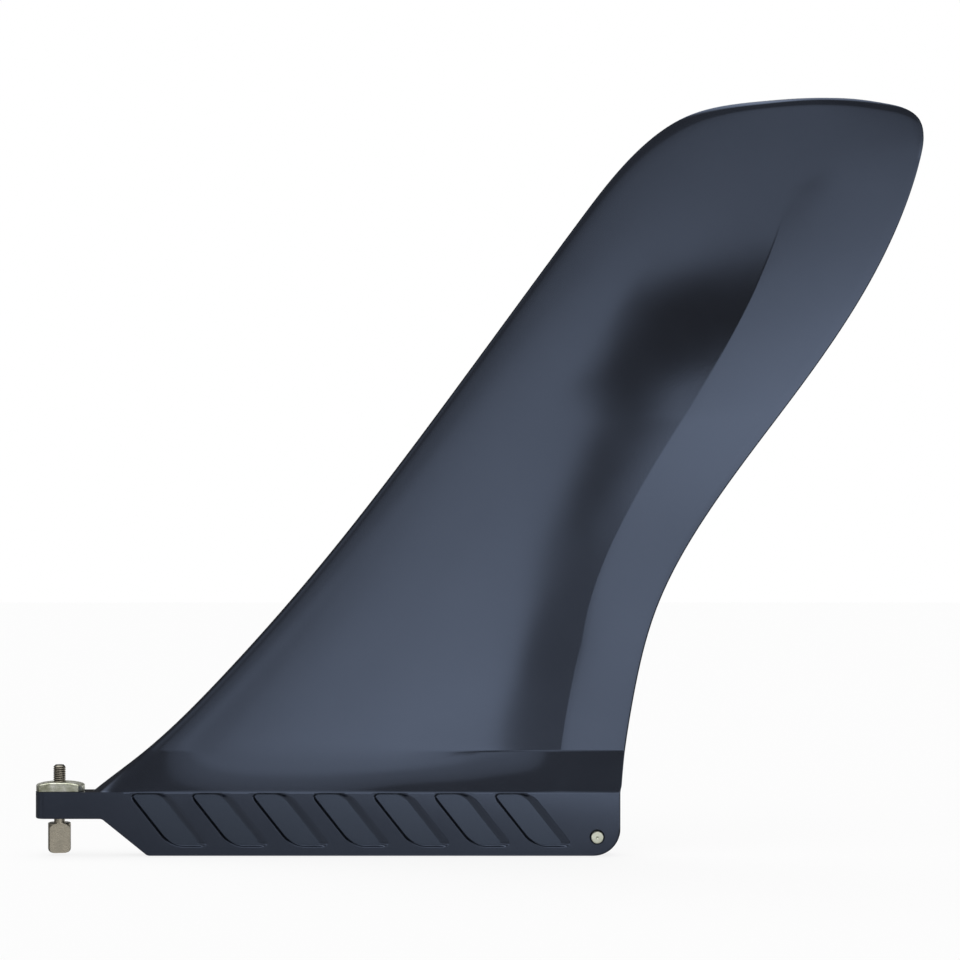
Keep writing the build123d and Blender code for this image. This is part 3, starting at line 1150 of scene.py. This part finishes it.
def addFloor():
    bm = bmesh.new()
    grid = bmesh.ops.create_grid(bm, x_segments=8, y_segments=8, size=1)
    depth = (studio["floorBack"] - studio["floorFront"]) / 2
    middle = (studio["floorBack"] + studio["floorFront"]) / 2
    bmesh.ops.scale(bm, vec=(studio["floorHalfWidth"], depth, 1), verts=grid["verts"])
    bmesh.ops.translate(bm, vec=(0, middle, -studio["floorDrop"]), verts=grid["verts"])
    floor = makeObject("floor", bm)
    material, tree, shader = newMaterial("paleFloor")
    shader.inputs["Base Color"].default_value = (*studio["floorColour"], 1)
    shader.inputs["Roughness"].default_value = studio["floorRoughness"]
    # mostly white to the camera, and clear to what the fin mirrors
    seen = tree.nodes.new("ShaderNodeEmission")
    seen.inputs["Color"].default_value = (1, 1, 1, 1)
    path = tree.nodes.new("ShaderNodeLightPath")
    toCamera = path.outputs["Is Camera Ray"]
    share = addMath(tree, "MULTIPLY", toCamera, studio["seenShare"])
    lit = tree.nodes.new("ShaderNodeMixShader")
    tree.links.new(share, lit.inputs["Fac"])
    tree.links.new(shader.outputs["BSDF"], lit.inputs[1])
    tree.links.new(seen.outputs["Emission"], lit.inputs[2])
    clear = tree.nodes.new("ShaderNodeBsdfTransparent")
    mirrored = tree.nodes.new("ShaderNodeMixShader")
    tree.links.new(path.outputs["Is Glossy Ray"], mirrored.inputs["Fac"])
    tree.links.new(lit.outputs["Shader"], mirrored.inputs[1])
    tree.links.new(clear.outputs["BSDF"], mirrored.inputs[2])
    tree.links.new(mirrored.outputs["Shader"], tree.nodes["Material Output"].inputs["Surface"])
    floor.data.materials.append(material)


def addStep(tree, source, low, high, fromLow, fromHigh):
    # A change from low to high with soft ends
    changed = addRange(tree, source, low, high, fromLow, fromHigh)
    changed.node.interpolation_type = "SMOOTHSTEP"
    return changed


def addCurve(tree, source, points):
    # A smooth curve through the points, level beyond its ends
    low, high = points[0][0], points[-1][0]
    top = max(value for _, value in points)
    node = tree.nodes.new("ShaderNodeFloatCurve")
    curve = node.mapping.curves[0]
    while len(curve.points) < len(points):
        curve.points.new(0.5, 0.5)
    for point, (place, value) in zip(curve.points, points):
        point.location = ((place - low) / (high - low), value / top)
        point.handle_type = "AUTO_CLAMPED"
    node.mapping.update()
    tree.links.new(addRange(tree, source, 0, 1, low, high), node.inputs["Value"])
    return addMath(tree, "MULTIPLY", node.outputs["Value"], top)


def addPartly(tree, share, mask):
    # The share where the mask is 1, and all of the light where it is 0
    change = addMath(tree, "SUBTRACT", share, 1.0)
    change = addMath(tree, "MULTIPLY", change, mask)
    return addMath(tree, "ADD", change, 1.0)


def addFigure(tree, azimuth, elevation):
    # How much of the light the dark figure takes, from 0 to 1
    rows, soft = studio["figure"], studio["figureSoft"]
    middle = addCurve(tree, elevation, [(row[0], row[1]) for row in rows])
    width = addCurve(tree, elevation, [(row[0], row[2]) for row in rows])
    depth = addCurve(tree, elevation, [(row[0], row[3]) for row in rows])
    away = addMath(tree, "SUBTRACT", azimuth, middle)
    away = addMath(tree, "ABSOLUTE", away)
    past = addMath(tree, "SUBTRACT", away, width)
    across = addStep(tree, past, 1, 0, -soft, soft)
    top = studio["figureTop"]
    leaned = addMath(tree, "SUBTRACT", azimuth, top)
    leaned = addMath(tree, "MULTIPLY", leaned, -studio["figureTilt"])
    leaned = addMath(tree, "ADD", elevation, leaned)
    below = addStep(tree, leaned, 1, 0, top - 2 * soft, top)
    inside = addMath(tree, "MULTIPLY", across, below)
    return addMath(tree, "MULTIPLY", inside, depth)


def addStrip(tree, azimuth, elevation):
    # The dim strip's share of the light, only in front of the fin
    dim = addCurve(tree, elevation, studio["strip"])
    away = addMath(tree, "ABSOLUTE", azimuth)
    ahead = addStep(tree, away, 1, 0, *studio["stripReach"])
    return addPartly(tree, dim, ahead)


def addCard(tree, azimuth, elevation):
    # What the dark card behind the fin leaves of the light
    card = studio["card"]
    away = addMath(tree, "ABSOLUTE", azimuth)
    dark = addStep(tree, away, 0, card["depth"], *card["from"])
    over = addStep(tree, elevation, 0, 1, *card["bottom"])
    dark = addMath(tree, "MULTIPLY", dark, over)
    under = addStep(tree, elevation, 1, 0, *card["top"])
    dark = addMath(tree, "MULTIPLY", dark, under)
    return addMath(tree, "SUBTRACT", 1.0, dark)


def addWorld():
    # Light by direction around the fin, and plain white to the camera
    world = bpy.data.worlds.new("studio")
    bpy.context.scene.world = world
    world.use_nodes = True
    tree = world.node_tree
    direction = tree.nodes.new("ShaderNodeTexCoord").outputs["Generated"]
    split = tree.nodes.new("ShaderNodeSeparateXYZ")
    tree.links.new(direction, split.inputs["Vector"])
    x, y, z = split.outputs["X"], split.outputs["Y"], split.outputs["Z"]
    degrees = 180 / math.pi
    toCamera = addMath(tree, "MULTIPLY", y, -1.0)
    azimuth = addMath(tree, "ARCTAN2", x, toCamera)
    azimuth = addMath(tree, "MULTIPLY", azimuth, degrees)
    elevation = addMath(tree, "ARCSINE", z)
    elevation = addMath(tree, "MULTIPLY", elevation, degrees)
    tilted = addMath(tree, "MULTIPLY", azimuth, studio["tilt"])
    tilted = addMath(tree, "MINIMUM", tilted, studio["tiltMost"])
    tilted = addMath(tree, "ADD", elevation, tilted)
    level = addCurve(tree, tilted, studio["levels"])
    far = addCurve(tree, elevation, studio["farLevels"])
    left = addCurve(tree, azimuth, studio["leftShares"])
    power = addCurve(tree, elevation, studio["leftPowers"])
    left = addMath(tree, "POWER", left, power)
    right = addCurve(tree, elevation, studio["rightShares"])
    onRight = addStep(tree, azimuth, 0, 1, *studio["rightBlend"])
    right = addPartly(tree, right, onRight)
    figure = addMath(tree, "SUBTRACT", 1.0, addFigure(tree, azimuth, elevation))
    side = addCurve(tree, azimuth, studio["sideShares"])
    high = addStep(tree, elevation, 0, 1, *studio["fromAbove"])
    side = addMath(tree, "MAXIMUM", side, high)
    strip = addStrip(tree, azimuth, elevation)
    card = addCard(tree, azimuth, elevation)
    for share in (far, left, right, side, figure, strip, card):
        level = addMath(tree, "MULTIPLY", level, share)
    background = tree.nodes["Background"]
    background.inputs["Color"].default_value = (1, 1, 1, 1)
    path = tree.nodes.new("ShaderNodeLightPath")
    plain = addMath(tree, "SUBTRACT", 1.0, path.outputs["Is Camera Ray"])
    lit = addMath(tree, "MULTIPLY", level, plain)
    strength = addMath(tree, "ADD", lit, path.outputs["Is Camera Ray"])
    tree.links.new(strength, background.inputs["Strength"])


addFloor()
addWorld()
print("floor and world placed")
